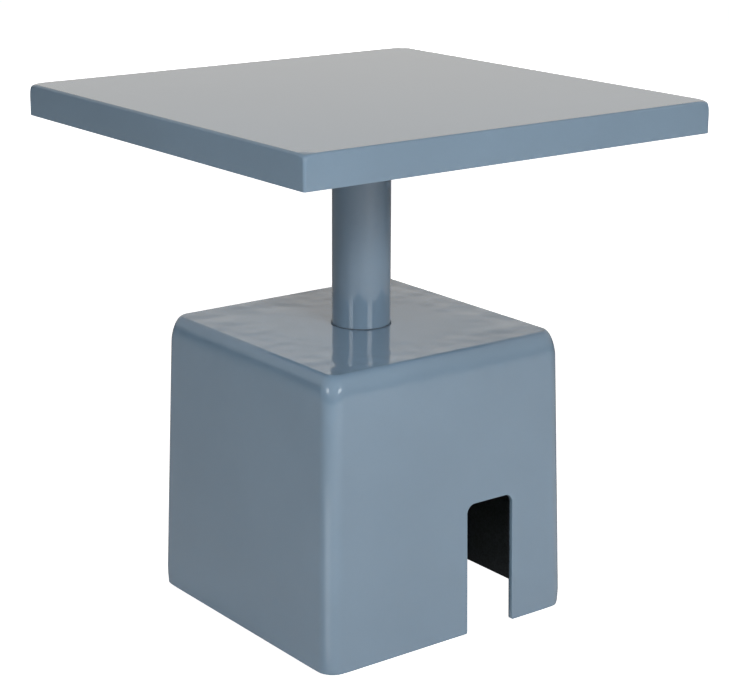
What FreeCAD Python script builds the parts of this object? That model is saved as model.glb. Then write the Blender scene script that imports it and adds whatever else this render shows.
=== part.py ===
"""Square side table: a folded sheet top on a round column, clamped to a hollow moulded cube base.

Millimetres, +Z up. The origin is on the floor, on the column's axis. The base's notched wall looks along -Y.
A threaded tie rod inside the column pulls the top's spider plate and the base's backing plate together.
"""
import FreeCAD, Part
import math
import os
import re
import Sketcher
from FreeCAD import Vector

# Driving sizes: alias, value, meaning.
SIZES = [
    ("table_height", 500, "floor to the top face"),
    ("tray_side", 450, "width and depth of the top"),
    ("tray_height", 30, "height of the top's apron"),
    ("tray_sheet", 2, "sheet of the top"),
    ("tray_bend_inside", 0.4, "inside radius of the bend between top face and apron"),
    ("tray_corner_extra", 0.1, "apron corners in plan, over the radius of the bend"),
    ("tray_edge_break", 0.4, "rounding of the apron's lower outer edge"),
    ("spider_sheet", 5, "thickness of the cross-shaped plate under the top"),
    ("spider_hub_diameter", 120, "round middle of the spider"),
    ("spider_tip_gap", 93, "tip of a spider arm to the top's corner, along the diagonal"),
    ("spider_root_width", 56, "arm width on the axis"),
    ("spider_tip_width", 34, "arm width at the tip"),
    ("spider_tip_radius", 10, "rounding of the arm tips"),
    ("spider_turn_angle", 45, "turn of the arms, in degrees, towards the top's corners"),
    ("stud_hub_margin", 20, "inner weld studs, outside the spider's hub"),
    ("stud_tip_margin", 20, "outer weld studs, inside the arm tips"),
    ("stud_diameter", 6, "thread of the weld studs"),
    ("stud_tail", 4.2, "weld studs below their nuts"),
    ("stud_hole_clearance", 0.6, "stud holes in plate and washers, over the thread"),
    ("stud_washer_diameter", 12, "washers on the studs"),
    ("stud_washer_height", 1.6, "thickness of those washers"),
    ("stud_nut_flats", 10, "nuts on the studs, across flats"),
    ("stud_nut_height", 5.2, "height of those nuts"),
    ("thread_gap", 0.1, "radial gap between a thread and its nut"),
    ("column_diameter", 56, "outside of the column"),
    ("column_wall", 2, "wall of the column tube"),
    ("ring_height", 12, "locating ring in the column's upper end"),
    ("ring_wall", 4, "wall of the locating ring"),
    ("ring_gap", 0.3, "radial gap between locating ring and column"),
    ("disc_height", 8, "thickness of the disc in the column's lower end"),
    ("disc_gap", 0.1, "radial gap between that disc and the column"),
    ("gasket_height", 1, "gasket between column and base"),
    ("gasket_overhang", 0.8, "gasket edge beyond the column"),
    ("rod_diameter", 12, "thread of the tie rod"),
    ("rod_end_gap", 1, "tie rod's upper end to the underside of the top sheet"),
    ("rod_tail", 8, "tie rod below its lower nut"),
    ("rod_bevel", 1.2, "bevel on the tie rod's ends"),
    ("rod_hole_clearance", 1, "tie rod holes, over the thread"),
    ("rod_nut_flats", 18, "tie rod nuts, across flats"),
    ("rod_nut_height", 10.8, "height of the tie rod nuts"),
    ("rod_washer_diameter", 24, "flat washer on the tie rod"),
    ("rod_washer_height", 2.5, "thickness of that washer"),
    ("spring_washer_diameter", 21, "spring washer on the tie rod"),
    ("spring_washer_height", 2.5, "thickness of the spring washer"),
    ("spring_washer_slit", 1.5, "slit through the spring washer"),
    ("pin_diameter", 6, "pins that stop the column turning"),
    ("pin_inset", 8.5, "middle of a pin to the column's inside wall"),
    ("pin_gap", 0.1, "radial gap round the pins"),
    ("pin_cover", 1, "pin ends below the faces of the disc and the backing plate"),
    ("plate_side", 150, "backing plate under the base's top"),
    ("plate_height", 6, "thickness of the backing plate"),
    ("plate_corner_radius", 12, "corners of the backing plate"),
    ("base_bottom_side", 286, "base at its rim"),
    ("base_draft_angle", 1.65, "lean of the base's walls, in degrees"),
    ("base_height", 277, "base from rim to top"),
    ("base_wall", 5, "wall of the moulded base"),
    ("base_crown_radius", 14, "edges round the base's top"),
    ("base_corner_extra", 1, "upright edges of the base, over the crown's radius"),
    ("base_edge_break", 0.8, "rounding of the rim's and the notch's outer edge"),
    ("notch_centre", 47, "middle of the notch, to the right of the axis"),
    ("notch_width", 55, "width of the notch"),
    ("notch_height", 128, "rim to the notch's top edge"),
    ("notch_corner_radius", 9, "upper corners of the notch"),
    ("notch_foot_extra", 1.2, "lower corners of the notch, over the edge rounding"),
    ("foot_drop", 2, "rubber feet below the rim"),
    ("foot_rise", 20, "rubber feet above the rim"),
    ("foot_leg", 45, "length of a foot's two legs"),
    ("foot_thickness", 10, "thickness of a foot's legs"),
    ("bond_gap", 0.2, "glue line between a foot and the base"),
]

# Counts, shares and names.
SPIDER_ARMS = 4
HEX_FLATS = 6
NUT_BEVEL_ANGLE = 30
NUT_FACE_SHARE = 0.98
WIDEST_TIP_ROUNDING = 0.45
CORNER_NAMES = ["back_right", "back_left", "front_left", "front_right"]

# Slack when edges and faces are picked by where they lie.
NEAR = 0.01

# Levels above the floor and other worked-out sizes, as formulas of the driving sizes.
RIM = "foot_drop"
BASE_TOP = f"({RIM} + base_height)"
BASE_CEILING = f"({BASE_TOP} - base_wall)"
COLUMN_FOOT = f"({BASE_TOP} + gasket_height)"
DISC_TOP = f"({COLUMN_FOOT} + disc_height)"
TRAY_RIM = "(table_height - tray_height)"
TRAY_UNDER = "(table_height - tray_sheet)"
SPIDER_UNDER = f"({TRAY_UNDER} - spider_sheet)"
PLATE_UNDER = f"({BASE_CEILING} - plate_height)"
WASHER_UNDER = f"({PLATE_UNDER} - rod_washer_height)"
SPRING_UNDER = f"({WASHER_UNDER} - spring_washer_height)"
NUT_UNDER = f"({SPRING_UNDER} - rod_nut_height)"
ROD_END = f"({NUT_UNDER} - rod_tail)"
ROD_TOP = f"({TRAY_UNDER} - rod_end_gap)"
ROD_HOLE = "(rod_diameter + rod_hole_clearance)"
PIN_HOLE = "(pin_diameter + 2 * pin_gap)"
PIN_RADIUS = "(column_diameter / 2 - column_wall - pin_inset)"
STUD_HOLE = "(stud_diameter + stud_hole_clearance)"
STUD_LENGTH = "(spider_sheet + stud_washer_height + stud_nut_height + stud_tail)"
SPIDER_REACH = "(tray_side / sqrt(2) - spider_tip_gap)"
STUD_RADII = {
    "inner": "(spider_hub_diameter / 2 + stud_hub_margin)",
    "outer": f"({SPIDER_REACH} - stud_tip_margin)",
}
COLUMN_BORE = "(column_diameter - 2 * column_wall)"
TRAY_BEND = "(tray_bend_inside + tray_sheet)"
TRAY_CORNER = f"({TRAY_BEND} + tray_corner_extra)"
BASE_DRAFT = "tan(base_draft_angle)"
BASE_CORNER = "(base_crown_radius + base_corner_extra)"

doc = FreeCAD.newDocument("side_table")
sheet = doc.addObject("Spreadsheet::Sheet", "Sizes")
for row, (alias, size, meaning) in enumerate(SIZES, start=1):
    sheet.set(f"A{row}", alias)
    sheet.set(f"B{row}", str(size))
    sheet.set(f"C{row}", meaning)
    sheet.setAlias(f"B{row}", alias)
doc.recompute()


def formula(text):
    """A formula of aliases in the sheet's own form."""
    return re.sub(r"[a-z]+(?:_[a-z]+)+", lambda alias: f"Sizes.{alias[0]}", text)


def number(text):
    """What a formula comes to with the present sizes."""
    return float(sheet.evalExpression(formula(text)))


def bind(thing, prop, text):
    """Tie a property to a formula."""
    thing.setExpression(prop, formula(text))


def new_body(name):
    """An empty sub-part."""
    body = doc.addObject("PartDesign::Body", name)
    body.Label = name
    return body


def origin(body, role):
    """A plane or axis of the body's own origin."""
    return [feature for feature in body.Origin.OriginFeatures if feature.Role == role][0]


def sketch_on(body, name, plane="XY_Plane", level="0", across="0"):
    """A sketch parallel to an origin plane, raised by level and shifted along its own x by across."""
    sketch = body.newObject("Sketcher::SketchObject", f"{body.Label}_{name}")
    sketch.AttachmentSupport = [(origin(body, plane), "")]
    sketch.MapMode = "FlatFace"
    bind(sketch, "AttachmentOffset.Base.z", level)
    bind(sketch, "AttachmentOffset.Base.x", across)
    return sketch


def place_point(sketch, geometry, end, x, y):
    """Hold one point of a sketch at two formulas."""
    for kind, text in (("DistanceX", x), ("DistanceY", y)):
        index = sketch.addConstraint(Sketcher.Constraint(kind, -1, 1, geometry, end, number(text)))
        bind(sketch, f"Constraints[{index}]", text)


def outline(sketch, points):
    """A closed outline of straight lines through points given as pairs of formulas."""
    corners = [Vector(number(x), number(y), 0) for x, y in points]
    first = len(sketch.Geometry)
    lines = [first + i for i in range(len(points))]
    for i, corner in enumerate(corners):
        sketch.addGeometry(Part.LineSegment(corner, corners[(i + 1) % len(corners)]))
    for i, line in enumerate(lines):
        sketch.addConstraint(Sketcher.Constraint("Coincident", line, 2, lines[(i + 1) % len(lines)], 1))
    for line, (x, y) in zip(lines, points):
        place_point(sketch, line, 1, x, y)
    return sketch


def square(sketch, side):
    """A square about the sketch's origin."""
    half, minus = f"({side}) / 2", f"-({side}) / 2"
    return outline(sketch, [(minus, minus), (half, minus), (half, half), (minus, half)])


def circle(sketch, diameter, x="0", y="0"):
    """A circle of a given diameter about a given point."""
    centre = Vector(number(x), number(y), 0)
    index = sketch.addGeometry(Part.Circle(centre, Vector(0, 0, 1), number(diameter) / 2))
    size = sketch.addConstraint(Sketcher.Constraint("Diameter", index, number(diameter)))
    bind(sketch, f"Constraints[{size}]", diameter)
    place_point(sketch, index, 3, x, y)
    return sketch


def pad(body, name, sketch, length):
    """Material from a sketch upwards."""
    feature = body.newObject("PartDesign::Pad", f"{body.Label}_{name}")
    feature.Profile = sketch
    bind(feature, "Length", length)
    doc.recompute()
    return feature


def cut(body, name, sketch, length, along_normal=True):
    """A cut from a sketch, which has to take material away."""
    before = body.Shape.Volume
    feature = body.newObject("PartDesign::Pocket", f"{body.Label}_{name}")
    feature.Profile = sketch
    feature.Reversed = along_normal
    bind(feature, "Length", length)
    doc.recompute()
    if body.Shape.Volume >= before:
        raise ValueError(f"{feature.Name} cuts nothing")
    return feature


def revolve(body, name, sketch):
    """A full turn of a section about the sketch's own upright axis."""
    feature = body.newObject("PartDesign::Revolution", f"{body.Label}_{name}")
    feature.Profile = sketch
    feature.ReferenceAxis = (sketch, ["V_Axis"])
    feature.Angle = 360
    doc.recompute()
    return feature


def repeat(body, name, feature, axis, count):
    """Copies of one feature, evenly spaced round an axis."""
    pattern = body.newObject("PartDesign::PolarPattern", f"{body.Label}_{name}")
    pattern.Originals = [feature]
    pattern.Axis = axis
    pattern.Angle = 360
    pattern.Occurrences = count
    body.Tip = pattern
    doc.recompute()
    return pattern


def repeat_whole(body, name, count):
    """Copies of everything made so far, evenly spaced round the table's axis."""
    pattern = body.newObject("PartDesign::PolarPattern", f"{body.Label}_{name}")
    pattern.TransformMode = "Whole shape"
    pattern.Axis = (origin(body, "Z_Axis"), [""])
    pattern.Angle = 360
    pattern.Occurrences = count
    body.Tip = pattern
    doc.recompute()
    return pattern


def fillet(body, name, radius, wanted):
    """Round every edge of the sub-part for which wanted(edge) is true."""
    tip = body.Tip
    names = [f"Edge{i}" for i, edge in enumerate(tip.Shape.Edges, start=1) if wanted(edge)]
    if not names:
        raise ValueError(f"no edges for {body.Label}_{name}")
    feature = body.newObject("PartDesign::Fillet", f"{body.Label}_{name}")
    feature.Base = (tip, names)
    bind(feature, "Radius", radius)
    doc.recompute()
    return feature


def is_upright(edge):
    """An edge that climbs from one level to another."""
    box = edge.BoundBox
    return box.ZLength > max(box.XLength, box.YLength)


def is_level_at(text):
    """A test for edges that lie wholly at one level."""
    level = number(text)
    return lambda edge: abs(edge.BoundBox.ZMin - level) < NEAR and abs(edge.BoundBox.ZMax - level) < NEAR


def midpoint(edge):
    """The point half way along an edge."""
    return edge.valueAt((edge.FirstParameter + edge.LastParameter) / 2)


def outside_square(point, half, radius):
    """How far a point lies outside a round-cornered square about the table's axis, in plan."""
    across = abs(point.x) - half + radius
    along = abs(point.y) - half + radius
    return math.hypot(max(across, 0), max(along, 0)) + min(max(across, along), 0) - radius


def faces_between(feature, low, high):
    """Names of the faces that reach exactly from one level to another."""
    names = []
    for index, face in enumerate(feature.Shape.Faces, start=1):
        box = face.BoundBox
        if abs(box.ZMin - number(low)) < NEAR and abs(box.ZMax - number(high)) < NEAR:
            names.append(f"Face{index}")
    return names


def hollow_from_below(body, name, wall, level):
    """Open the flat underside at a level and leave a wall of even thickness."""
    tip = body.Tip
    feature = body.newObject("PartDesign::Thickness", f"{body.Label}_{name}")
    feature.Base = (tip, faces_between(tip, level, level))
    feature.Reversed = True
    bind(feature, "Value", wall)
    doc.recompute()
    return feature


def ring(name, inside, outside, level, height):
    """A plain round ring on the table's axis, from its inside and outside diameters."""
    body = new_body(name)
    sketch = sketch_on(body, "plan", level=level)
    circle(sketch, outside)
    circle(sketch, inside)
    pad(body, "solid", sketch, height)
    return body


def hex_nut(body, name, flats, height, bore, level, across="0"):
    """A bevelled hexagon nut, standing off the table's axis by across."""
    corner = f"(({flats}) / 2 / cos({180 // HEX_FLATS}))"
    face = f"(({flats}) / 2 * {NUT_FACE_SHARE})"
    bevel = f"(({corner} - {face}) * tan({NUT_BEVEL_ANGLE}))"
    inner = f"(({bore}) / 2)"
    top = f"({level} + {height})"
    section = sketch_on(body, f"{name}_section", "XZ_Plane", across=across)
    outline(section, [
        (inner, level), (face, level), (corner, f"{level} + {bevel}"),
        (corner, f"{top} - {bevel}"), (face, top), (inner, top),
    ])
    revolve(body, f"{name}_turned", section)
    side = sketch_on(body, f"{name}_side", level=level, across=across)
    outline(side, [
        (f"{flats} / 2", f"-{flats}"), (flats, f"-{flats}"), (flats, flats), (f"{flats} / 2", flats),
    ])
    flat = cut(body, f"{name}_flat", side, height)
    repeat(body, f"{name}_flats", flat, (side, ["N_Axis"]), HEX_FLATS)


def make_top_tray():
    """Table top: folded sheet, open below, with small bends and welded, rounded corners."""
    body = new_body("top_tray")
    pad(body, "block", square(sketch_on(body, "plan", level=TRAY_RIM), "tray_side"), "tray_height")
    fillet(body, "corners", TRAY_CORNER, is_upright)
    fillet(body, "bends", TRAY_BEND, is_level_at("table_height"))
    hollow_from_below(body, "sheet", "tray_sheet", TRAY_RIM)
    at_rim = is_level_at(TRAY_RIM)
    half, corner, half_sheet = number("tray_side / 2"), number(TRAY_CORNER), number("tray_sheet / 2")

    def is_outer(edge):
        return at_rim(edge) and outside_square(midpoint(edge), half, corner) > -half_sheet

    fillet(body, "edge", "tray_edge_break", is_outer)
    return body


def turn_to_corners(body):
    """Point a sub-part's arms, studs or nuts at the top's corners."""
    body.Placement.Rotation.Axis = Vector(0, 0, 1)
    bind(body, "Placement.Rotation.Angle", "spider_turn_angle")
    return body


def make_spider_plate():
    """Cross-shaped plate under the top, with holes for the weld studs and the tie rod."""
    body = new_body("spider_plate")
    pad(body, "hub", circle(sketch_on(body, "hub_plan", level=SPIDER_UNDER), "spider_hub_diameter"), "spider_sheet")
    arm = outline(sketch_on(body, "arm_plan", level=SPIDER_UNDER), [
        ("0", "-spider_root_width / 2"), (SPIDER_REACH, "-spider_tip_width / 2"),
        (SPIDER_REACH, "spider_tip_width / 2"), ("0", "spider_root_width / 2"),
    ])
    one_arm = pad(body, "arm", arm, "spider_sheet")
    table_axis = (origin(body, "Z_Axis"), [""])
    repeat(body, "arms", one_arm, table_axis, SPIDER_ARMS)
    reach = math.hypot(number(SPIDER_REACH), number("spider_tip_width / 2")) - NEAR

    def is_tip(edge):
        return is_upright(edge) and math.hypot(midpoint(edge).x, midpoint(edge).y) > reach

    fillet(body, "tips", f"min(spider_tip_radius; spider_tip_width * {WIDEST_TIP_ROUNDING})", is_tip)
    cut(body, "rod_hole", circle(sketch_on(body, "rod_plan", level=SPIDER_UNDER), ROD_HOLE), "spider_sheet")
    for place, radius in STUD_RADII.items():
        hole = circle(sketch_on(body, f"{place}_plan", level=SPIDER_UNDER), STUD_HOLE, x=radius)
        one_hole = cut(body, f"{place}_hole", hole, "spider_sheet")
        repeat(body, f"{place}_holes", one_hole, table_axis, SPIDER_ARMS)
    return turn_to_corners(body)


def make_stud_group(name, diameter, hole, level, height):
    """Round pieces on every stud position: studs, or washers where a hole is given."""
    body = new_body(name)
    sketch = sketch_on(body, "plan", level=level)
    for radius in STUD_RADII.values():
        circle(sketch, diameter, x=radius)
        if hole:
            circle(sketch, hole, x=radius)
    pad(body, "pair", sketch, height)
    repeat_whole(body, "ring", SPIDER_ARMS)
    return turn_to_corners(body)


def make_stud_nuts():
    """A nut on every stud, under its washer."""
    body = new_body("stud_nuts")
    level = f"({SPIDER_UNDER} - stud_washer_height - stud_nut_height)"
    bore = "stud_diameter + 2 * thread_gap"
    for place, radius in STUD_RADII.items():
        hex_nut(body, place, "stud_nut_flats", "stud_nut_height", bore, level, across=radius)
    repeat_whole(body, "ring", SPIDER_ARMS)
    return turn_to_corners(body)


def make_rod_nut(name, level):
    """A nut on the tie rod."""
    body = new_body(name)
    hex_nut(body, "nut", "rod_nut_flats", "rod_nut_height", "rod_diameter + 2 * thread_gap", level)
    return body


def make_tie_rod():
    """Threaded rod with bevelled ends, from the top's spider to below the base's top."""
    body = new_body("tie_rod")
    radius = "rod_diameter / 2"
    narrow = "rod_diameter / 2 - rod_bevel"
    section = sketch_on(body, "section", "XZ_Plane")
    outline(section, [
        ("0", ROD_END), (narrow, ROD_END), (radius, f"{ROD_END} + rod_bevel"),
        (radius, f"{ROD_TOP} - rod_bevel"), (narrow, ROD_TOP), ("0", ROD_TOP),
    ])
    revolve(body, "solid", section)
    return body


def pin_circles(sketch, diameter):
    """Two circles where the pins stand, left and right of the tie rod."""
    circle(sketch, diameter, x=PIN_RADIUS)
    circle(sketch, diameter, x=f"-{PIN_RADIUS}")
    return sketch


def drill_pins(body, level, height):
    """Holes for the pins through a disc, gasket, wall or plate."""
    cut(body, "pin_holes", pin_circles(sketch_on(body, "pin_plan", level=level), PIN_HOLE), height)


def make_locating_pins():
    """Pins through disc, gasket, base and backing plate that stop the column turning."""
    body = new_body("locating_pins")
    level = f"({PLATE_UNDER} + pin_cover)"
    plan = pin_circles(sketch_on(body, "plan", level=level), "pin_diameter")
    pad(body, "solid", plan, f"{DISC_TOP} - pin_cover - {level}")
    return body


def make_drilled_disc(name, diameter, level, height):
    """A disc on the table's axis with holes for the tie rod and the pins."""
    body = ring(name, ROD_HOLE, diameter, level, height)
    drill_pins(body, level, height)
    return body


def make_backing_plate():
    """Steel plate that carries the tie rod's pull into the base's top."""
    body = new_body("backing_plate")
    sketch = sketch_on(body, "plan", level=PLATE_UNDER)
    pad(body, "solid", square(sketch, "plate_side"), "plate_height")
    fillet(body, "corners", "plate_corner_radius", is_upright)
    cut(body, "rod_hole", circle(sketch_on(body, "rod_plan", level=PLATE_UNDER), ROD_HOLE), "plate_height")
    drill_pins(body, PLATE_UNDER, "plate_height")
    return body


def make_spring_washer():
    """Spring washer under the tie rod's nut, pressed flat, with its slit."""
    body = ring("rod_spring_washer", "rod_diameter + 2 * thread_gap", "spring_washer_diameter",
                SPRING_UNDER, "spring_washer_height")
    half = "spring_washer_slit / 2"
    slit = outline(sketch_on(body, "slit_plan", level=SPRING_UNDER), [
        ("0", f"-{half}"), ("spring_washer_diameter", f"-{half}"), ("spring_washer_diameter", half), ("0", half),
    ])
    cut(body, "slit", slit, "spring_washer_height")
    return body


def moulded_block(body, level, bottom_side, corner_radius, crown_radius):
    """A drafted block of the base's height with round upright edges and a round crown."""
    top = f"({level} + base_height)"
    block = pad(body, "block", square(sketch_on(body, "plan", level=level), bottom_side), "base_height")
    draft = body.newObject("PartDesign::Draft", f"{body.Label}_draft")
    draft.Base = (block, faces_between(block, level, top))
    draft.NeutralPlane = (block, faces_between(block, level, level))
    bind(draft, "Angle", "base_draft_angle")
    doc.recompute()
    fillet(body, "upright_edges", corner_radius, is_upright)
    fillet(body, "crown", crown_radius, is_level_at(top))
    return body


def make_base_shell():
    """Hollow moulded base: drafted walls, round edges, open below, with one notch in the front wall."""
    body = moulded_block(new_body("base_shell"), RIM, "base_bottom_side", BASE_CORNER, "base_crown_radius")
    core = moulded_block(new_body("base_core"), f"({RIM} - base_wall)",
                         f"(base_bottom_side - 2 * base_wall + 2 * base_wall * {BASE_DRAFT})",
                         f"{BASE_CORNER} - base_wall", "base_crown_radius - base_wall")
    hollow = body.newObject("PartDesign::Boolean", "base_shell_hollow")
    hollow.Type = "Cut"
    hollow.setObjects([core])
    doc.recompute()

    left = "notch_centre - notch_width / 2"
    right = "notch_centre + notch_width / 2"
    notch_top = f"{RIM} + notch_height"
    notch = sketch_on(body, "notch_front", "XZ_Plane", level="base_bottom_side / 2 + base_wall")
    outline(notch, [(left, "0"), (right, "0"), (right, notch_top), (left, notch_top)])
    cut(body, "notch", notch, f"3 * base_wall + {BASE_DRAFT} * notch_height", along_normal=False)

    jambs = [number(left), number(right)]

    def is_jamb_edge(level):
        at_level = is_level_at(level)
        return lambda edge: at_level(edge) and min(abs(midpoint(edge).x - jamb) for jamb in jambs) < NEAR

    fillet(body, "notch_corners", "notch_corner_radius", is_jamb_edge(notch_top))
    fillet(body, "notch_feet", "base_edge_break + notch_foot_extra", is_jamb_edge(RIM))

    bottom_half, rim, draft = number("base_bottom_side / 2"), number(RIM), number(BASE_DRAFT)
    corner, half_wall = number(BASE_CORNER), number("base_wall / 2")
    highest = number(notch_top) + NEAR

    def is_outer_edge(edge):
        point = midpoint(edge)
        half = bottom_half - draft * (point.z - rim)
        return edge.BoundBox.ZMax < highest and outside_square(point, half, corner) > -half_wall

    fillet(body, "edge", "base_edge_break", is_outer_edge)
    hole = circle(sketch_on(body, "rod_plan", level=BASE_CEILING), ROD_HOLE)
    cut(body, "rod_hole", hole, "base_wall")
    drill_pins(body, BASE_CEILING, "base_wall")
    return body


def make_corner_foot(index, corner):
    """Rubber foot in one inside corner of the base: two legs along the walls, standing just below the rim."""
    body = new_body(f"corner_foot_{corner}")
    outer = f"(base_bottom_side / 2 - base_wall - {BASE_DRAFT} * foot_rise - bond_gap)"
    inner = f"({outer} - foot_thickness)"
    end = f"({outer} - foot_leg)"
    plan = outline(sketch_on(body, "plan"), [
        (outer, end), (outer, outer), (end, outer), (end, inner), (inner, inner), (inner, end),
    ])
    pad(body, "solid", plan, "foot_drop + foot_rise")
    reach = number(f"{outer} * sqrt(2)") - NEAR

    def is_outer_corner(edge):
        return is_upright(edge) and math.hypot(midpoint(edge).x, midpoint(edge).y) > reach

    fillet(body, "corner", f"{BASE_CORNER} - base_wall", is_outer_corner)
    body.Placement.Rotation = FreeCAD.Rotation(Vector(0, 0, 1), index * 360 / len(CORNER_NAMES))
    return body


def make_table():
    """Every sub-part of the table, from the top down."""
    pieces = [
        make_top_tray(),
        make_spider_plate(),
        make_stud_group("tray_studs", "stud_diameter", None, f"{TRAY_UNDER} - {STUD_LENGTH}", STUD_LENGTH),
        make_stud_group("stud_washers", "stud_washer_diameter", STUD_HOLE,
                        f"{SPIDER_UNDER} - stud_washer_height", "stud_washer_height"),
        make_stud_nuts(),
        ring("locating_ring", f"{COLUMN_BORE} - 2 * ring_gap - 2 * ring_wall", f"{COLUMN_BORE} - 2 * ring_gap",
             f"{SPIDER_UNDER} - ring_height", "ring_height"),
        make_rod_nut("rod_anchor_nut", f"{SPIDER_UNDER} - rod_nut_height"),
        ring("column_tube", COLUMN_BORE, "column_diameter", COLUMN_FOOT, f"{SPIDER_UNDER} - {COLUMN_FOOT}"),
        make_drilled_disc("column_foot_disc", f"{COLUMN_BORE} - 2 * disc_gap", COLUMN_FOOT, "disc_height"),
        make_drilled_disc("column_gasket", "column_diameter + 2 * gasket_overhang", BASE_TOP, "gasket_height"),
        make_locating_pins(),
        make_tie_rod(),
        make_base_shell(),
        make_backing_plate(),
        ring("rod_washer", ROD_HOLE, "rod_washer_diameter", WASHER_UNDER, "rod_washer_height"),
        make_spring_washer(),
        make_rod_nut("rod_nut", NUT_UNDER),
    ]
    for index, corner in enumerate(CORNER_NAMES):
        pieces.append(make_corner_foot(index, corner))
    return pieces


def check(pieces):
    """Stop unless every feature was made and every sub-part is a sound solid."""
    for thing in doc.Objects:
        if "Invalid" in thing.State or "Error" in thing.State:
            raise ValueError(f"{thing.Name} failed: {thing.State}")
    for piece in pieces:
        shape = piece.Shape
        if shape.isNull() or not shape.isValid() or not shape.Solids:
            raise ValueError(f"{piece.Label} is not a sound solid")


table = make_table()
doc.recompute()
check(table)
os.makedirs("parts", exist_ok=True)
for piece in table:
    piece.Shape.exportStep(f"parts/{piece.Label}.step")
    box = piece.Shape.BoundBox
    print(f"{piece.Label:26s} {len(piece.Shape.Solids)} solids {piece.Shape.Volume / 1000:9.2f} cm3"
          f"  z {box.ZMin:7.2f} to {box.ZMax:7.2f}  x {box.XLength:7.2f}  y {box.YLength:7.2f}")
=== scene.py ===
# %% [markdown]
# A side table: a square sheet top, a round column and a hollow moulded cube as its base.
# The CAD model comes first and stays fixed. It gives every piece its place and size, in metres,
# so Blender is free to care about what CAD leaves out: finish, light and small worked detail.

# %% Load the fixed frame
import math

import bmesh
import bpy
from mathutils import Matrix, Vector


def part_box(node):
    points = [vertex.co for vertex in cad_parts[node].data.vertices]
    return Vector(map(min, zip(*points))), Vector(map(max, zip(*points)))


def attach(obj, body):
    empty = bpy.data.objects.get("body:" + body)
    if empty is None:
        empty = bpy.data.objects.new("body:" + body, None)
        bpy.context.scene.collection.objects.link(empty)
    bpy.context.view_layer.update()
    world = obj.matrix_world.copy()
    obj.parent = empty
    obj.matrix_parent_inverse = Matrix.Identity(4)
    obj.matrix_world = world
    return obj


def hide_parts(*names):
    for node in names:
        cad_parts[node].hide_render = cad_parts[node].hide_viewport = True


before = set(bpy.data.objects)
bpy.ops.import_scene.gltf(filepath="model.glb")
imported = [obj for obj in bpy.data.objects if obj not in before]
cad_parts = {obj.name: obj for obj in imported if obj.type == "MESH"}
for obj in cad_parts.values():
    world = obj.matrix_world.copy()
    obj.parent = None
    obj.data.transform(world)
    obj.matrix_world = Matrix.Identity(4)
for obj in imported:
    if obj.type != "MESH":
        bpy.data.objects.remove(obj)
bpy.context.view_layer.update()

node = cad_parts

# %% [markdown]
# The camera stands where the photographer stood: a long lens, a little above the table, turned so that
# the front corner of the base is left of the middle. The place was found by fitting the outline of
# the table, and a matrix built from three directions says it without any angle juggling.

# %% Camera
IMAGE_WIDTH = 729
FOCAL_PIXELS = 1977.1
SENSOR_WIDTH = 36.0
CAMERA_PLACE = Vector((-1.09443, -1.45473, 0.78325))
CAMERA_AZIMUTH = math.radians(-37.058)
CAMERA_PITCH = math.radians(16.288)
CAMERA_ROLL = math.radians(0.181)


def camera_turn(azimuth, pitch, roll):
    ahead = Vector((-math.sin(azimuth) * math.cos(pitch),
                    math.cos(azimuth) * math.cos(pitch),
                    -math.sin(pitch)))
    level = Vector((math.cos(azimuth), math.sin(azimuth), 0.0))
    above = level.cross(ahead)
    right = level * math.cos(roll) + above * math.sin(roll)
    up = above * math.cos(roll) - level * math.sin(roll)
    return Matrix((right, up, -ahead)).transposed().to_4x4()


camera = bpy.data.objects.new("studio_camera", bpy.data.cameras.new("studio_camera"))
camera.data.sensor_width = SENSOR_WIDTH
camera.data.lens = FOCAL_PIXELS / IMAGE_WIDTH * SENSOR_WIDTH
camera.matrix_world = Matrix.Translation(CAMERA_PLACE) @ camera_turn(
    CAMERA_AZIMUTH, CAMERA_PITCH, CAMERA_ROLL)
bpy.context.scene.collection.objects.link(camera)
bpy.context.scene.camera = camera
print("lens:", round(camera.data.lens, 2), "mm")

# %% [markdown]
# Blender can bend tones on their way from light to pixels, to save bright highlights. The Standard view
# leaves greys as they are, which is what a plain catalogue picture on white looks like.

# %% Plain tones
bpy.context.scene.view_settings.view_transform = "Standard"
print("view:", bpy.context.scene.view_settings.view_transform)

# %% [markdown]
# Every finish below is a small graph of nodes. These helpers keep a graph readable: one adds a node with
# its settings, one fills a socket from another node or with a plain value, and two do sums, with
# numbers and with places and directions.

# %% Node helpers
GIVES_NUMBER = ("DOT_PRODUCT", "LENGTH")


def node_graph(name):
    material = bpy.data.materials.new(name)
    material.use_nodes = True
    material.node_tree.nodes.clear()
    return material, material.node_tree


def add(tree, kind, **settings):
    made = tree.nodes.new(kind)
    for key, value in settings.items():
        setattr(made, key, value)
    return made


def feed(tree, socket, value):
    """Join an output to a socket, or set the socket to a plain number or colour."""
    if isinstance(value, bpy.types.NodeSocket):
        tree.links.new(value, socket)
    else:
        socket.default_value = value


def sums(tree, operation, first, second=0.0, third=0.0):
    made = add(tree, "ShaderNodeMath", operation=operation)
    for socket, value in zip(made.inputs, (first, second, third)):
        feed(tree, socket, value)
    return made.outputs[0]


def arrows(tree, operation, first, second=(0.0, 0.0, 0.0)):
    """Sums with places and directions. A dot product or a length comes out as a number."""
    made = add(tree, "ShaderNodeVectorMath", operation=operation)
    for socket, value in zip(made.inputs, (first, second)):
        feed(tree, socket, value)
    return made.outputs["Value" if operation in GIVES_NUMBER else "Vector"]


print("node helpers ready")

# %% [markdown]
# A few building blocks come back in each finish: a cloudy noise, a soft step from one value to another, a
# blend, a relief and the main shader. All patterns are laid out in the object's own metres, so they
# need no unwrapping, and a scale can be thought of as features per metre.

# %% Pattern helpers
DIRECTION_A, DIRECTION_B, DIRECTION_OUT = 4, 5, 1
COLOUR_A, COLOUR_B, COLOUR_OUT = 6, 7, 2


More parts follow.
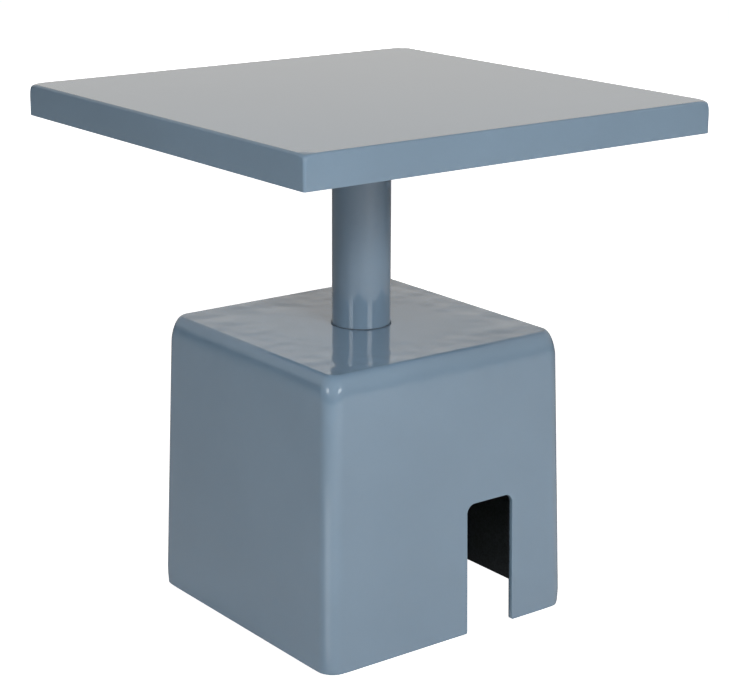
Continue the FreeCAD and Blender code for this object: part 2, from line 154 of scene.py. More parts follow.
def object_place(tree):
    return add(tree, "ShaderNodeTexCoord").outputs["Object"]


def mottle(tree, place, per_metre, detail):
    made = add(tree, "ShaderNodeTexNoise")
    feed(tree, made.inputs["Vector"], place)
    made.inputs["Scale"].default_value = per_metre
    made.inputs["Detail"].default_value = detail
    return made.outputs["Fac"]


def spread(tree, value, low, high, out_low, out_high):
    """Stretch the range low to high onto out_low to out_high, and hold it there beyond."""
    made = add(tree, "ShaderNodeMapRange", interpolation_type="SMOOTHSTEP")
    feed(tree, made.inputs["Value"], value)
    for name, number in (("From Min", low), ("From Max", high), ("To Min", out_low), ("To Max", out_high)):
        feed(tree, made.inputs[name], number)
    return made.outputs["Result"]


def blend_colours(tree, share, first, second):
    made = add(tree, "ShaderNodeMix", data_type="RGBA")
    feed(tree, made.inputs["Factor"], share)
    for socket, value in ((made.inputs[COLOUR_A], first), (made.inputs[COLOUR_B], second)):
        feed(tree, socket, value if isinstance(value, bpy.types.NodeSocket) else (*value, 1))
    return made.outputs[COLOUR_OUT]


def blend_directions(tree, share, first, second):
    made = add(tree, "ShaderNodeMix", data_type="VECTOR")
    feed(tree, made.inputs["Factor"], share)
    feed(tree, made.inputs[DIRECTION_A], first)
    feed(tree, made.inputs[DIRECTION_B], second)
    return made.outputs[DIRECTION_OUT]


def relief(tree, height, depth, under=None):
    """Raise the surface by height times depth, on top of an earlier relief."""
    made = add(tree, "ShaderNodeBump")
    made.inputs["Strength"].default_value = 1.0
    made.inputs["Distance"].default_value = depth
    feed(tree, made.inputs["Height"], height)
    if under is not None:
        feed(tree, made.inputs["Normal"], under)
    return made.outputs["Normal"]


def surface(tree, **sockets):
    """The main shader, with its sockets named by words joined with underscores."""
    shader = add(tree, "ShaderNodeBsdfPrincipled")
    for name, value in sockets.items():
        feed(tree, shader.inputs[name.replace("_", " ")], value)
    output = add(tree, "ShaderNodeOutputMaterial")
    tree.links.new(shader.outputs[0], output.inputs["Surface"])


print("pattern helpers ready")

# %% [markdown]
# Gloss is only as good as what it mirrors. Here the floor gets a painted glow, seen only by mirrored rays,
# that stands in for lamp light on a white floor in front of the table. It begins in line with the front of
# the base. Under the table and left of it the glow is almost nil: that is the table's own shadow, painted on
# the floor, and that is why the left faces look darker and the front corner starts as a clean line. A
# painted brighter strip runs left along the edge of the lit part, for the pale reflected line in the rounded
# front upright. Further out the glow fades, but less in the one direction that the right faces mirror.

# %% Painted floor light and table shadow, for mirrored rays
FRONT_GLEAM, SIDE_GLEAM = 0.50, 0.05
UNDER_TABLE, BESIDE_TABLE = 0.12, 0.20
LIT_FLOOR_CORNER = (-0.139, -0.136, 0.0)
LIT_FLOOR_FRONT = (0.0, -1.0, 0.0)
LIT_EDGE_WIDTH = 0.02
STRIP_GLEAM = 0.70
STRIP_AIM = (-1.0, 0.0, 0.0)
STRIP_OFF, STRIP_ON = 0.72, 0.97
STRIP_FULL, STRIP_FADED = 0.80, 0.95
GLEAM_FULL, GLEAM_FADED = 0.9, 1.8
FAR_SHARE = 0.6
FAR_AIM = (0.34, -0.94, 0.0)
FAR_OFF, FAR_ON = 0.70, 0.90


# Painted light and shade: the floor glows for mirrored rays where lamps would light it, and stays dark where
# the table's shadow would fall.
def painted_floor_light(tree, place):
    """How bright a place on the floor is to mirrored rays: painted lamp light in front of the table, painted
    table shadow under it and behind its front edge.
    """
    from_corner = arrows(tree, "SUBTRACT", place, LIT_FLOOR_CORNER)
    past_edge = arrows(tree, "DOT_PRODUCT", from_corner, LIT_FLOOR_FRONT)
    strip_way = arrows(tree, "DOT_PRODUCT", arrows(tree, "NORMALIZE", from_corner), STRIP_AIM)
    strip_reach = arrows(tree, "LENGTH", from_corner)
    strip = sums(tree, "MULTIPLY", spread(tree, strip_way, STRIP_OFF, STRIP_ON, 0.0, STRIP_GLEAM),
                 spread(tree, strip_reach, STRIP_FULL, STRIP_FADED, 1.0, 0.0))
    reach = arrows(tree, "LENGTH", place)
    beside = spread(tree, reach, UNDER_TABLE, BESIDE_TABLE, 0.0, SIDE_GLEAM)
    near = spread(tree, past_edge, 0.0, LIT_EDGE_WIDTH, beside, sums(tree, "ADD", strip, FRONT_GLEAM))
    far_way = arrows(tree, "DOT_PRODUCT", arrows(tree, "NORMALIZE", place), FAR_AIM)
    far_share = spread(tree, far_way, FAR_OFF, FAR_ON, 0.0, FAR_SHARE)
    return sums(tree, "MULTIPLY", near, spread(tree, reach, GLEAM_FULL, GLEAM_FADED, 1.0, far_share))


# The paper named below is the painted lit part of the floor; it begins at this y.
print("the paper begins at y =", LIT_FLOOR_CORNER[1], "m")

# %% [markdown]
# The floor is one large pale sheet. A catalogue picture has a white ground, but a floor lit that brightly
# would throw light up at the table and flatten its shading. So the floor is a plain matte grey to
# the lamps. It gets an even lift only for rays that come straight from the camera, and the painted
# glow, with the table's painted shadow, only for mirrored rays. Seen from below it lets the eye through,
# so that the underside can be looked at.

# %% Floor
FLOOR_RADIUS = 14.0
FLOOR_CORNERS = 96
FLOOR_TONE = 0.86
FLOOR_LIFT = 0.97

floor_paint, tree = node_graph("floor_paint")
matte = add(tree, "ShaderNodeBsdfDiffuse")
matte.inputs["Color"].default_value = (FLOOR_TONE, FLOOR_TONE, FLOOR_TONE, 1)
floor_shape = add(tree, "ShaderNodeNewGeometry")
rays = add(tree, "ShaderNodeLightPath")
gleam = sums(tree, "MULTIPLY", painted_floor_light(tree, floor_shape.outputs["Position"]),
             rays.outputs["Is Glossy Ray"])
lift = add(tree, "ShaderNodeEmission")
feed(tree, lift.inputs["Strength"],
     sums(tree, "MULTIPLY_ADD", rays.outputs["Is Camera Ray"], FLOOR_LIFT, gleam))
lifted = add(tree, "ShaderNodeAddShader")
clear = add(tree, "ShaderNodeBsdfTransparent")
either = add(tree, "ShaderNodeMixShader")
output = add(tree, "ShaderNodeOutputMaterial")
for source, socket in ((matte.outputs[0], lifted.inputs[0]),
                       (lift.outputs[0], lifted.inputs[1]),
                       (floor_shape.outputs["Backfacing"], either.inputs[0]),
                       (lifted.outputs[0], either.inputs[1]),
                       (clear.outputs[0], either.inputs[2]),
                       (either.outputs[0], output.inputs["Surface"])):
    tree.links.new(source, socket)

bpy.ops.mesh.primitive_circle_add(vertices=FLOOR_CORNERS, radius=FLOOR_RADIUS, fill_type="NGON")
floor = bpy.context.object
floor.name = "floor"
floor.data.materials.append(floor_paint)
print("floor radius:", FLOOR_RADIUS, "m")

# %% [markdown]
# The room is a soft shell of light that depends only on direction. A studio wall behind the table is
# bright, and at a low angle a glossy flat top shows that wall, which is why it looks a pale neutral
# grey while the upright faces keep the blue of the paint. The pale ceiling is too dim to light the
# table, yet the rounded edges mirror it, so it is there for mirrored rays alone. Rays that come
# straight from the camera see plain white, the same as the floor.

# %% Studio room
WALL_GLOW = 0.71
WALL_TINT, WHITE = (1.0, 0.985, 0.955), (1.0, 1.0, 1.0)
WALL_FROM, WALL_TO = 0.62, 0.86
WALL_TOP_FROM, WALL_TOP_TO = 0.19, 0.70
CEILING_LEFT, CEILING_RIGHT = 0.50, 0.60
CEILING_FROM, CEILING_TO = 0.02, 0.20
HORIZON_RIGHT = 0.45
OVERHEAD_FROM, OVERHEAD_TO, OVERHEAD_SHARE = 0.55, 0.85, 0.35
LEFT_SIDE, RIGHT_SIDE = -0.7, 0.6
BEHIND = (-math.sin(CAMERA_AZIMUTH), math.cos(CAMERA_AZIMUTH), 0.0)
RIGHTWARD = (math.cos(CAMERA_AZIMUTH), math.sin(CAMERA_AZIMUTH), 0.0)

world = bpy.data.worlds.new("studio_room")
bpy.context.scene.world = world
world.use_nodes = True
tree = world.node_tree
tree.nodes.clear()
look = add(tree, "ShaderNodeTexCoord").outputs["Generated"]
split = add(tree, "ShaderNodeSeparateXYZ")
tree.links.new(look, split.inputs[0])
upward = split.outputs["Z"]
rays = add(tree, "ShaderNodeLightPath")
backward = arrows(tree, "DOT_PRODUCT", look, BEHIND)
wall = sums(tree, "MULTIPLY", spread(tree, backward, WALL_FROM, WALL_TO, 0.0, WALL_GLOW),
            spread(tree, upward, WALL_TOP_FROM, WALL_TOP_TO, 1.0, 0.0))
sideways = arrows(tree, "DOT_PRODUCT", look, RIGHTWARD)
ceiling_glow = spread(tree, sideways, LEFT_SIDE, RIGHT_SIDE, CEILING_LEFT, CEILING_RIGHT)
horizon_glow = spread(tree, sideways, LEFT_SIDE, RIGHT_SIDE, 0.0, HORIZON_RIGHT)
overhead = spread(tree, upward, OVERHEAD_FROM, OVERHEAD_TO, 1.0, OVERHEAD_SHARE)
ceiling = sums(tree, "MULTIPLY", sums(tree, "MULTIPLY", rays.outputs["Is Glossy Ray"], overhead),
               spread(tree, upward, CEILING_FROM, CEILING_TO, horizon_glow, ceiling_glow))
seen = sums(tree, "MULTIPLY", rays.outputs["Is Camera Ray"], FLOOR_LIFT)
sky = add(tree, "ShaderNodeBackground")
feed(tree, sky.inputs["Color"], blend_colours(tree, rays.outputs["Is Camera Ray"], WALL_TINT, WHITE))
feed(tree, sky.inputs["Strength"], sums(tree, "MAXIMUM", seen, sums(tree, "MAXIMUM", wall, ceiling)))
tree.links.new(sky.outputs[0], add(tree, "ShaderNodeOutputWorld").inputs["Surface"])
print("wall:", WALL_GLOW, "ceiling:", CEILING_LEFT, "to", CEILING_RIGHT)

# %% [markdown]
# Soft boxes light the table from the front. One to the right of the camera makes the right faces lighter
# than the left, and the top shades the upper column. One above the camera fills in. Both stand near,
# so their light fades across the table, and a far one high on the left lifts the left faces. Two low
# skirts hardly light anything, but the column mirrors them, and the base mirrors the column: they are
# the two pale stripes in its top. The big boxes hang behind cloth, so the gloss shows no hard image of
# them: their glossy visibility is off, and the corners keep only the small glints of the skirts.
# A low one behind the table is for whoever walks round it.

# %% Soft boxes
TABLE_MIDDLE = Vector((0.0, 0.0, 0.25))
NEAR, FAR = 2.6, 4.5


def soft_box(name, azimuth, elevation, distance, size, power, mirrored=True):
    """An area lamp on a circle round the table; azimuth 0 stands in front and 90 to the right."""
    turn = math.radians(azimuth)
    rise = math.radians(elevation)
    away = Vector((math.sin(turn) * math.cos(rise), -math.cos(turn) * math.cos(rise), math.sin(rise)))
    lamp = bpy.data.objects.new(name, bpy.data.lights.new(name, "AREA"))
    lamp.data.shape = "RECTANGLE"
    lamp.data.size, lamp.data.size_y = size
    lamp.data.energy = power
    lamp.visible_glossy = mirrored
    lamp.location = TABLE_MIDDLE + away * distance
    lamp.rotation_mode = "QUATERNION"
    lamp.rotation_quaternion = (-away).to_track_quat("-Z", "Y")
    bpy.context.scene.collection.objects.link(lamp)
    return lamp


soft_boxes = [
    soft_box("key_box", azimuth=-3, elevation=28, distance=NEAR, size=(1.1, 0.55), power=23, mirrored=False),
    soft_box("key_skirt", azimuth=-3, elevation=15, distance=FAR, size=(1.4, 0.6), power=11),
    soft_box("front_box", azimuth=-37, elevation=31, distance=NEAR, size=(1.1, 0.75), power=19.5,
             mirrored=False),
    soft_box("side_box", azimuth=-77, elevation=42, distance=FAR, size=(1.9, 0.95), power=35, mirrored=False),
    soft_box("side_skirt", azimuth=-77, elevation=15, distance=FAR, size=(1.2, 0.6), power=8.5),
    soft_box("back_box", azimuth=143, elevation=2, distance=FAR, size=(2.4, 0.6), power=75, mirrored=False),
]
print("soft boxes:", ", ".join(box.name for box in soft_boxes))

# %% [markdown]
# Paint, plating and rubber all wear along their edges first. That could be painted on by hand, edge by edge.
# Here a mask finds the edges: it compares the surface's own direction with that of a copy whose edges
# are rounded, and the two differ only there. A noise then breaks the mask up into patches.

# %% Worn edges
EDGE_SAMPLES = 6
EDGE_NONE, EDGE_FULL = 0.99, 0.80
PATCHES_PER_METRE, PATCH_RANGE = 160.0, (0.42, 0.68)
PATCH_LEAST = 0.15


def rubbed_edges(tree, place, width):
    rounded = add(tree, "ShaderNodeBevel", samples=EDGE_SAMPLES)
    rounded.inputs["Radius"].default_value = width
    facing = add(tree, "ShaderNodeNewGeometry").outputs["Normal"]
    along = arrows(tree, "DOT_PRODUCT", rounded.outputs[0], facing)
    patches = mottle(tree, place, PATCHES_PER_METRE, detail=5.0)
    return sums(tree, "MULTIPLY", spread(tree, along, EDGE_NONE, EDGE_FULL, 0.0, 1.0),
                spread(tree, patches, *PATCH_RANGE, PATCH_LEAST, 1.0))


print("patches of wear per metre:", PATCHES_PER_METRE)

# %% [markdown]
# The lacquer is a blue-grey gloss over steel and over the moulded base. A plain blue would look like plastic,
# so three things make it more than a colour. Its tone drifts a little from place to place. Its skin has
# the fine orange peel of sprayed paint, and broad shallow waves that bend what it mirrors. Its edges
# are rubbed slightly pale and dull. A thin clear coat lies over it all.

# %% Lacquer
LACQUER = (0.190, 0.279, 0.370)
COAT, COAT_ROUGHNESS = 0.5, 0.04
DRIFTS_PER_METRE, DRIFT_RANGE = 7.0, (0.3, 0.7)
DRIFT_DARK, DRIFT_PALE = 0.97, 1.03
FLECKS_PER_METRE, FLECK_RANGE = 1500.0, (0.35, 0.65)
FLECK_SHARE, FLECK_TONE = 0.10, 0.85
RUB_WIDTH, RUB_SHARE, RUB_TONE, RUB_DULLS = 0.0010, 0.30, 1.7, 0.15
HAZES_PER_METRE, HAZE_RANGE, HAZE_ROUGHNESS = 18.0, (0.35, 0.70), (0.055, 0.075)
PEEL_PER_METRE, PEEL_DEPTH = 700.0, 0.000004


def tinted(colour, factor):
    return tuple(channel * factor for channel in colour)


def paint_layers(tree, place, wave_size, wave_depth):
    """Colour, roughness and relief of the lacquer, ready to feed a shader."""
    drift = spread(tree, mottle(tree, place, DRIFTS_PER_METRE, detail=3.0), *DRIFT_RANGE, 0.0, 1.0)
    tone = blend_colours(tree, drift, tinted(LACQUER, DRIFT_DARK), tinted(LACQUER, DRIFT_PALE))
    fleck = spread(tree, mottle(tree, place, FLECKS_PER_METRE, detail=1.0), *FLECK_RANGE, 0.0, FLECK_SHARE)
    tone = blend_colours(tree, fleck, tone, tinted(LACQUER, FLECK_TONE))
    rub = rubbed_edges(tree, place, RUB_WIDTH)
    tone = blend_colours(tree, sums(tree, "MULTIPLY", rub, RUB_SHARE), tone, tinted(LACQUER, RUB_TONE))
    haze = spread(tree, mottle(tree, place, HAZES_PER_METRE, detail=4.0), *HAZE_RANGE, *HAZE_ROUGHNESS)
    rough = sums(tree, "MULTIPLY_ADD", rub, RUB_DULLS, haze)
    waves = relief(tree, mottle(tree, place, 1.0 / wave_size, detail=1.5), wave_depth)
    peel = relief(tree, mottle(tree, place, PEEL_PER_METRE, detail=1.0), PEEL_DEPTH, waves)
    return tone, rough, peel


def lacquer(name, wave_size, wave_depth):
    material, tree = node_graph(name)
    tone, rough, skin = paint_layers(tree, object_place(tree), wave_size, wave_depth)
    surface(tree, Base_Color=tone, Roughness=rough, Normal=skin, Coat_Normal=skin,
            Coat_Weight=COAT, Coat_Roughness=COAT_ROUGHNESS)
    return material


def dress(material, *names):
    """Give CAD nodes one finish."""
    for name in names:
        slots = node[name].data.materials
        slots.clear()
        slots.append(material)
    print(material.name, "on", ", ".join(names))


dress(lacquer("top_lacquer", wave_size=0.090, wave_depth=0.00010), "top_tray")
dress(lacquer("frame_lacquer", wave_size=0.060, wave_depth=0.00006),
      "column_tube", "column_foot_disc", "spider_plate", "locating_ring")

# %% [markdown]
# The inside of the base is near-black, and at the notch its border with the lacquer is ragged. Two
# materials on two sets of faces would give a hard line, so one material holds both and a mask tells
# them apart by place alone. A point belongs to the inside if its surface looks towards the middle
# of the hollow and it lies nearly a wall's thickness below the outer face.

# %% Where the base is dark inside
HOLLOW_MIDDLE = (0.0, 0.0, 0.14)
RIM_HALF = 0.143
RIM_LEVEL = 0.002
WALL_LEAN = math.tan(math.radians(1.65))
BASE_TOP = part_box("base_shell")[1][2]
PAINT_REACH, PAINT_FADE = 0.0040, 0.0008
RAGS_PER_METRE, RAG_DEPTH = 260.0, 0.0012


def inside_mask(tree, shape, level, widest):
    from_middle = arrows(tree, "SUBTRACT", shape.outputs["Position"], HOLLOW_MIDDLE)
    facing = arrows(tree, "DOT_PRODUCT", from_middle, shape.outputs["Normal"])
    inward = sums(tree, "LESS_THAN", facing, 0.0)
    outer = sums(tree, "MULTIPLY_ADD", level, -WALL_LEAN, RIM_HALF + RIM_LEVEL * WALL_LEAN)
    below = sums(tree, "MINIMUM", sums(tree, "SUBTRACT", outer, widest),
                 sums(tree, "SUBTRACT", BASE_TOP, level))
    ragged = mottle(tree, shape.outputs["Position"], RAGS_PER_METRE, detail=3.0)
    deep = spread(tree, sums(tree, "MULTIPLY_ADD", ragged, RAG_DEPTH, below),
                  PAINT_REACH, PAINT_REACH + PAINT_FADE, 0.0, 1.0)
    return sums(tree, "MULTIPLY", inward, deep)


print("paint reaches", PAINT_REACH * 1000, "mm into the notch")

# %% [markdown]
# The base is moulded, so its gloss waves more than that of flat steel, and most along the upper edge, where
# it was sanded by hand before painting. Inside it is near-black with a pattern of short strands, and
# looks almost black through the notch. One noise gives the strands both tone and relief.

# %% Base: lacquer outside, near-black inside
INSIDE_DARK_TONE = (0.021, 0.026, 0.029)
SANDING_SIZE, SANDING_DEPTH = 0.035, 0.0015
SANDING_OUT, SANDING_UP = (0.050, 0.105), (0.225, 0.265)
NOISE_MIDDLE = 0.5
STRANDS_PER_METRE, STRAND_RANGE = 420.0, (0.35, 0.65)
STRAND_TONE, STRAND_DEPTH = 1.9, 0.0003
INSIDE_DULLS = 0.5

base_lacquer, tree = node_graph("base_lacquer")
place = object_place(tree)
tone, rough, skin = paint_layers(tree, place, wave_size=0.045, wave_depth=0.00030)
shape = add(tree, "ShaderNodeNewGeometry")
split = add(tree, "ShaderNodeSeparateXYZ")
tree.links.new(shape.outputs["Position"], split.inputs[0])
level = split.outputs["Z"]
widest = sums(tree, "MAXIMUM", sums(tree, "ABSOLUTE", split.outputs["X"]),
              sums(tree, "ABSOLUTE", split.outputs["Y"]))
inside = inside_mask(tree, shape, level, widest)
near_edge = sums(tree, "MULTIPLY", spread(tree, widest, *SANDING_OUT, 0.0, 1.0),
                 spread(tree, level, *SANDING_UP, 0.0, 1.0))
sanding = sums(tree, "SUBTRACT", mottle(tree, place, 1.0 / SANDING_SIZE, detail=1.0), NOISE_MIDDLE)
skin = relief(tree, sums(tree, "MULTIPLY", near_edge, sanding), SANDING_DEPTH, skin)
strands = mottle(tree, place, STRANDS_PER_METRE, detail=4.0)
inside_tone = blend_colours(tree, spread(tree, strands, *STRAND_RANGE, 0.0, 1.0),
                         INSIDE_DARK_TONE, tinted(INSIDE_DARK_TONE, STRAND_TONE))
inside_skin = relief(tree, strands, STRAND_DEPTH, skin)
surface(tree, Base_Color=blend_colours(tree, inside, tone, inside_tone),
        Roughness=sums(tree, "MULTIPLY_ADD", inside, INSIDE_DULLS, rough),
        Normal=blend_directions(tree, inside, skin, inside_skin), Coat_Normal=skin,
        Coat_Weight=spread(tree, inside, 0.0, 1.0, COAT, 0.0), Coat_Roughness=COAT_ROUGHNESS)
dress(base_lacquer, "base_shell")

# %% [markdown]
# Bolts, nuts, washers and pins are zinc plated: a bright metal with a faint warm and cool clouding,
# soft in its gloss and full of tiny scratches. Drawing scratches one by one would be endless, so a
# noise stretched along the height makes them all.

# %% Zinc plating
ZINC, ZINC_WARM, ZINC_BARE = (0.62, 0.62, 0.60), (0.60, 0.55, 0.44), (0.78, 0.78, 0.77)
CLOUDS_PER_METRE, CLOUD_RANGE, CLOUD_SHARE = 120.0, (0.35, 0.7), 0.6
SCRATCH_STRETCH = (1.0, 1.0, 0.06)
SCRATCHES_PER_METRE, SCRATCH_RANGE, SCRATCH_DEPTH = 3000.0, (0.3, 0.7), 0.000012
ZINC_EDGE, ZINC_ROUGHNESS = 0.0006, (0.26, 0.44)

zinc, tree = node_graph("plated_steel")
place = object_place(tree)
cloud = spread(tree, mottle(tree, place, CLOUDS_PER_METRE, detail=3.0), *CLOUD_RANGE, 0.0, CLOUD_SHARE)
stretched = add(tree, "ShaderNodeMapping")
tree.links.new(place, stretched.inputs["Vector"])
stretched.inputs["Scale"].default_value = SCRATCH_STRETCH
scratch = mottle(tree, stretched.outputs[0], SCRATCHES_PER_METRE, detail=2.0)
bright = blend_colours(tree, cloud, ZINC, ZINC_WARM)
bright = blend_colours(tree, rubbed_edges(tree, place, ZINC_EDGE), bright, ZINC_BARE)
surface(tree, Base_Color=bright, Metallic=1.0,
        Roughness=spread(tree, scratch, *SCRATCH_RANGE, *ZINC_ROUGHNESS),
        Normal=relief(tree, scratch, SCRATCH_DEPTH))
dress(zinc, "tray_studs", "stud_washers", "stud_nuts", "rod_anchor_nut", "tie_rod", "locating_pins",
      "rod_washer", "rod_spring_washer", "rod_nut")

# %% [markdown]
# The backing plate under the base's top is galvanised sheet. Molten zinc freezes in crystals a centimetre
# across, each with its own grey. A noise has no such borders, but a Voronoi pattern is made of cells,
# so it gives each crystal a tone and a gloss.

# %% Galvanised plate
SPANGLES_PER_METRE = 110.0
SPANGLE_DARK, SPANGLE_PALE = (0.38, 0.40, 0.41), (0.58, 0.60, 0.61)
SPANGLE_ROUGHNESS = (0.32, 0.55)
FROST_PER_METRE, FROST_DEPTH = 900.0, 0.00002

galvanised, tree = node_graph("galvanised_plate")
place = object_place(tree)
spangle = add(tree, "ShaderNodeTexVoronoi", feature="F1")
spangle.inputs["Scale"].default_value = SPANGLES_PER_METRE
tree.links.new(place, spangle.inputs["Vector"])
cell = add(tree, "ShaderNodeSeparateColor")
tree.links.new(spangle.outputs["Color"], cell.inputs[0])
surface(tree, Base_Color=blend_colours(tree, cell.outputs[0], SPANGLE_DARK, SPANGLE_PALE), Metallic=1.0,
        Roughness=spread(tree, cell.outputs[1], 0.0, 1.0, *SPANGLE_ROUGHNESS),
        Normal=relief(tree, mottle(tree, place, FROST_PER_METRE, detail=2.0), FROST_DEPTH))
dress(galvanised, "backing_plate")

# %% [markdown]
# Rubber is dark, dull and slightly dusty. The gasket is a thin cut sheet, the feet are moulded. A fine noise
# serves twice, as the grain that is felt and as the change of gloss that is seen, and dust lies on
# top as a paler colour in clouds.

# %% Rubber
FOOT_TONE, GASKET_TONE, DUST = (0.022, 0.023, 0.025), (0.090, 0.120, 0.150), (0.16, 0.155, 0.15)
DUST_PER_METRE, DUST_RANGE = 60.0, (0.45, 0.75)
WORN_WIDTH, WORN_SHARE, WORN_TONE = 0.0008, 0.35, 4.0
GRAINS_PER_METRE, GRAIN_RANGE, GRAIN_DEPTH = 1800.0, (0.3, 0.7), 0.00004
RUBBER_ROUGHNESS = (0.62, 0.85)
FEET = ("corner_foot_back_right", "corner_foot_back_left",
        "corner_foot_front_left", "corner_foot_front_right")


def rubber(name, colour, dust):
    material, tree = node_graph(name)
    place = object_place(tree)
    dusty = spread(tree, mottle(tree, place, DUST_PER_METRE, detail=5.0), *DUST_RANGE, 0.0, dust)
    tone = blend_colours(tree, dusty, colour, DUST)
    worn = sums(tree, "MULTIPLY", rubbed_edges(tree, place, WORN_WIDTH), WORN_SHARE)
    grain = mottle(tree, place, GRAINS_PER_METRE, detail=3.0)
    surface(tree, Base_Color=blend_colours(tree, worn, tone, tinted(colour, WORN_TONE)),
            Roughness=spread(tree, grain, *GRAIN_RANGE, *RUBBER_ROUGHNESS),
            Normal=relief(tree, grain, GRAIN_DEPTH))
    return material


dress(rubber("gasket_rubber", GASKET_TONE, dust=0.12), "column_gasket")
dress(rubber("foot_rubber", FOOT_TONE, dust=0.30), *FEET)

# %% [markdown]
# The rod and the studs are plain round bars in the CAD model. Real ones are rolled with a thread, which shows
# below the nuts when the table is turned over. A screw modifier could sweep a profile, but a thread is
# also just a bar whose radius depends on height and on the angle round it: going once round climbs by
# one pitch. So the bar becomes a grid of rings, and each point moves in or out by the thread's outline,
# a blunt tooth with sides at sixty degrees. Near an end the radius may not pass a small cone, which
# gives the end its bevel, and the bar stays one closed mesh.

# %% Thread helpers
CREST_SHARE = 0.125
ROOT_SHARE = 0.25
TOOTH_DEPTH = 0.6134
RINGS_PER_PITCH = 8


def tooth(turn):
    """Height of the thread, from 0 at the root to 1 at the crest, by the share of a pitch climbed."""
    from_crest = abs((turn % 1.0) - 0.5)
    side = 0.5 - 0.5 * CREST_SHARE - 0.5 * ROOT_SHARE
    return min(max((from_crest - 0.5 * ROOT_SHARE) / side, 0.0), 1.0)


def thread_levels(low, high, step):
    count = max(1, round((high - low) / step))
    return [low + (high - low) * index / count for index in range(count + 1)]


def skin_rings(mesh, rings):
    """Join rings of points by faces, and close both ends."""
    for lower, upper in zip(rings, rings[1:]):
        for index in range(len(lower)):
            following = (index + 1) % len(lower)
            mesh.faces.new((lower[index], lower[following], upper[following], upper[index]))
    mesh.faces.new(list(reversed(rings[0])))
    mesh.faces.new(rings[-1])


def add_bar(mesh, middle, levels, radius, pitch, is_cut, corners):
    """One bar with a thread where is_cut(level) is true, closed by a flat cap at both ends."""
    depth = TOOTH_DEPTH * pitch
    low, high = levels[0], levels[-1]
    rings = []
    for level in levels:
        cone = radius - depth + min(level - low, high - level)
        ring = []
        for corner in range(corners):
            share = corner / corners
            size = radius
            if is_cut(level):
                size -= depth * (1.0 - tooth(level / pitch - share))
            size = min(size, cone)
            angle = 2.0 * math.pi * share
            ring.append(mesh.verts.new((middle[0] + size * math.cos(angle),
                                        middle[1] + size * math.sin(angle), level)))
        rings.append(ring)
    skin_rings(mesh, rings)


print("one turn of thread takes", RINGS_PER_PITCH, "rings")

# %% [markdown]
# Every new piece joins the table in the same way. It rides on the table's one body, takes a finish, and
# hides the CAD node that it stands for, if there is one. A round piece is shaded smooth,
# but for the edges that are sharper than a given angle.

# %% Joining a piece to the table
SMOOTH_BELOW = 40.0


def join_table(name, data, replaced):
    piece = bpy.data.objects.new(name, data)
    bpy.context.scene.collection.objects.link(piece)
    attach(piece, "root")
    if replaced:
        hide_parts(replaced)
    print(name, "faces:", len(data.polygons))


def finished_piece(name, mesh, material, replaced=None, smooth_below=SMOOTH_BELOW):
    bmesh.ops.recalc_face_normals(mesh, faces=mesh.faces)
    data = bpy.data.meshes.new(name)
    mesh.to_mesh(data)
    mesh.free()
    data.shade_smooth()
    data.set_sharp_from_angle(angle=math.radians(smooth_below))
    data.materials.append(material)
    join_table(name, data, replaced)


print("edges below", SMOOTH_BELOW, "degrees are shaded smooth")

# %% [markdown]
# The tie rod holds the table together. It is threaded at both ends only, as cut to length in a workshop, with
# a plain shank between, which needs far fewer rings.

# %% Tie rod
ROD_PITCH = 0.00175
ROD_LOWER_THREAD = 0.060
ROD_UPPER_THREAD = 0.024
ROD_CORNERS = 28
SHANK_STEP = 0.02

rod_low, rod_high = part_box("tie_rod")
rod_radius = (rod_high[0] - rod_low[0]) / 2
lower_end = rod_low[2] + ROD_LOWER_THREAD
upper_start = rod_high[2] - ROD_UPPER_THREAD
rod_step = ROD_PITCH / RINGS_PER_PITCH
rod_levels = (thread_levels(rod_low[2], lower_end, rod_step)
              + thread_levels(lower_end, upper_start, SHANK_STEP)[1:]
              + thread_levels(upper_start, rod_high[2], rod_step)[1:])
mesh = bmesh.new()
add_bar(mesh, (0.0, 0.0), rod_levels, rod_radius, ROD_PITCH,
        lambda level: level < lower_end or level > upper_start, ROD_CORNERS)
finished_piece("threaded_tie_rod", mesh, zinc, "tie_rod")

# %% [markdown]
# The eight studs are welded under the top and threaded all the way. Their places could be typed in, but the
# CAD mesh knows them: points that lie close together in plan belong to one stud.

# %% Studs
STUD_PITCH = 0.0010
STUD_CORNERS = 18
STUD_WIDTH = 0.0070


def bar_places(name, apart):
    """Middle of each bar of a CAD node, as x and y."""
    groups = []
    for vertex in node[name].data.vertices:
        spot = node[name].matrix_world @ vertex.co
        for group in groups:
            if (group[0].xy - spot.xy).length < apart:
                group.append(spot)
                break
        else:
            groups.append([spot])
    return [((min(p.x for p in group) + max(p.x for p in group)) / 2,
             (min(p.y for p in group) + max(p.y for p in group)) / 2) for group in groups]


stud_low, stud_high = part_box("tray_studs")
stud_spots = bar_places("tray_studs", STUD_WIDTH)
stud_radius = stud_high[0] - max(spot[0] for spot in stud_spots)
stud_levels = thread_levels(stud_low[2], stud_high[2], STUD_PITCH / RINGS_PER_PITCH)
mesh = bmesh.new()
for spot in stud_spots:
    add_bar(mesh, spot, stud_levels, stud_radius, STUD_PITCH, lambda level: True, STUD_CORNERS)
finished_piece("threaded_studs", mesh, zinc, "tray_studs")
print("studs:", len(stud_spots), "radius:", round(stud_radius * 1000, 2), "mm")

# %% [markdown]
# The top is folded from one sheet, so its four corners are seams. Outside they are ground flush and painted
# over. Inside, where nobody looks, the welder leaves a bead: a narrow fillet that rose and sank each
# time the torch paused. A bump in the paint would look flat from the side, so it is a mesh of its own:
# rows bent round the corner, whose size follows those ripples.

